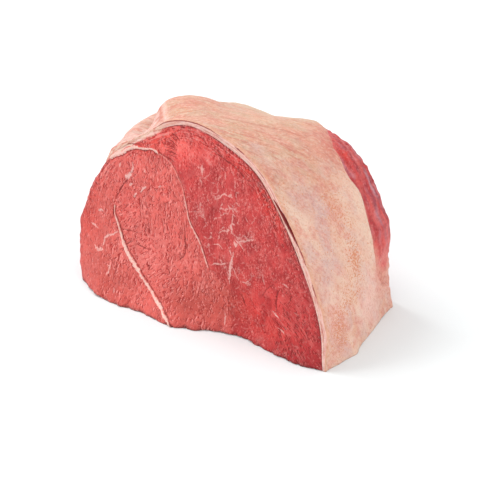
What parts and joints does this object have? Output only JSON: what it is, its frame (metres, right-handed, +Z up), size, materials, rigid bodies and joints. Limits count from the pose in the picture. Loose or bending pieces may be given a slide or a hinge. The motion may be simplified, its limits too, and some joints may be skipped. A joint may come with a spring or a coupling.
{
  "type": "raw beef joint",
  "caption": "Thick slab of raw beef cut from the round: flat cut faces front and back, domed top, flat base, and a fat cap over the top and right side.",
  "frame": {"origin": "under the middle of the joint, on the surface that it stands on", "axes": "+X to the right along the cut face, towards the fat side's foot; +Y from the front cut face to the back; +Z up"},
  "size_m": [0.1966, 0.106, 0.1322],
  "materials": {
    "lean": null,
    "fat": null
  },
  "bodies": {
    "root": {"lean": "lean", "fat_cap": "fat"}
  },
  "joints": []
}
